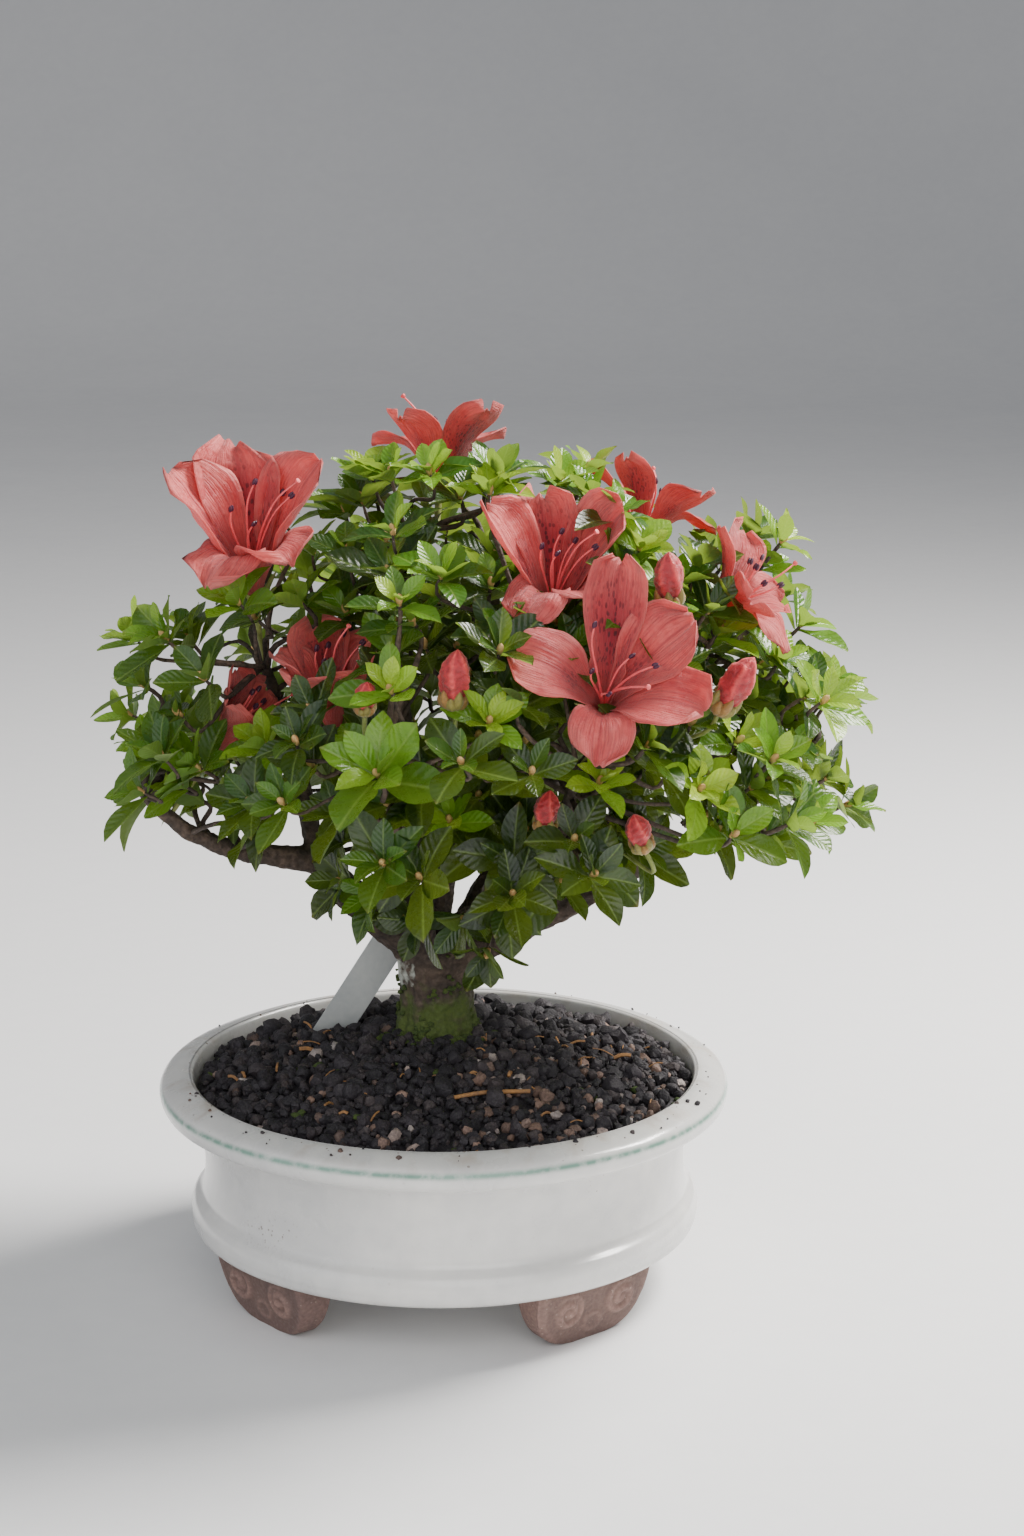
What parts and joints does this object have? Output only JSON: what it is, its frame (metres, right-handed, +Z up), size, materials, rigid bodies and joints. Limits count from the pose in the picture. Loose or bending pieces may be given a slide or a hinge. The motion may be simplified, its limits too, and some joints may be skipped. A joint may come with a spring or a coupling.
{
  "type": "flowering azalea bonsai in pot",
  "caption": "Small flowering azalea bonsai with a domed leafy crown and coral flowers, in a round white-glazed pot on bare clay feet.",
  "frame": {"origin": "middle of the whole plant's bounding box in plan, at the floor under the feet", "axes": "+Z up, -Y is the front that shows the open flower, +X to the right seen from the front"},
  "size_m": [0.2554, 0.2115, 0.2876],
  "materials": {
    "pot_glaze": "cloudy off-white glaze, glossy",
    "foot_clay": "bare fired clay, matte",
    "gravel_soil": "coarse dark gravel, rough",
    "bark": "rough bark with moss",
    "foliage": "fresh leaves, semi-gloss",
    "petals": "soft petals, matte",
    "flower_stalks": "fine green and pink stalks",
    "buds": "wrinkled closed petals",
    "label_plastic": "translucent pale plastic",
    "screen_plastic": "black net",
    "clip_wire": "annealed wire"
  },
  "bodies": {
    "root": {"bud_1": "buds", "bud_2": "buds", "bud_3": "buds", "bud_4": "buds", "bud_5": "buds", "bud_6": "buds", "drainage_screen": "screen_plastic", "flower_1_corolla": "petals", "flower_1_stalk": "flower_stalks", "flower_2_corolla": "petals", "flower_2_stalk": "flower_stalks", "flower_3_corolla": "petals", "flower_3_stalk": "flower_stalks", "flower_4_corolla": "petals", "flower_4_stalk": "flower_stalks", "flower_5_corolla": "petals", "flower_5_stalk": "flower_stalks", "flower_6_corolla": "petals", "flower_6_stalk": "flower_stalks", "flower_7_corolla": "petals", "flower_7_stalk": "flower_stalks", "flower_8_corolla": "petals", "flower_8_stalk": "flower_stalks", "foot_back_left": "foot_clay", "foot_back_right": "foot_clay", "foot_front_left": "foot_clay", "foot_front_right": "foot_clay", "leaf_spray_01": "foliage", "leaf_spray_02": "foliage", "leaf_spray_03": "foliage", "leaf_spray_04": "foliage", "leaf_spray_05": "foliage", "leaf_spray_06": "foliage", "leaf_spray_07": "foliage", "leaf_spray_08": "foliage", "leaf_spray_09": "foliage", "leaf_spray_10": "foliage", "leaf_spray_11": "foliage", "leaf_spray_12": "foliage", "leaf_spray_13": "foliage", "leaf_spray_14": "foliage", "leaf_spray_15": "foliage", "leaf_spray_16": "foliage", "leaf_spray_17": "foliage", "leaf_spray_18": "foliage", "leaf_spray_19": "foliage", "leaf_spray_20": "foliage", "leaf_spray_21": "foliage", "leaf_spray_22": "foliage", "leaf_spray_23": "foliage", "leaf_spray_24": "foliage", "leaf_spray_25": "foliage", "leaf_spray_26": "foliage", "plant_label": "label_plastic", "pot_body": "pot_glaze", "screen_clip_wire": "clip_wire", "soil": "gravel_soil", "trunk_and_branches": "bark"}
  },
  "joints": []
}
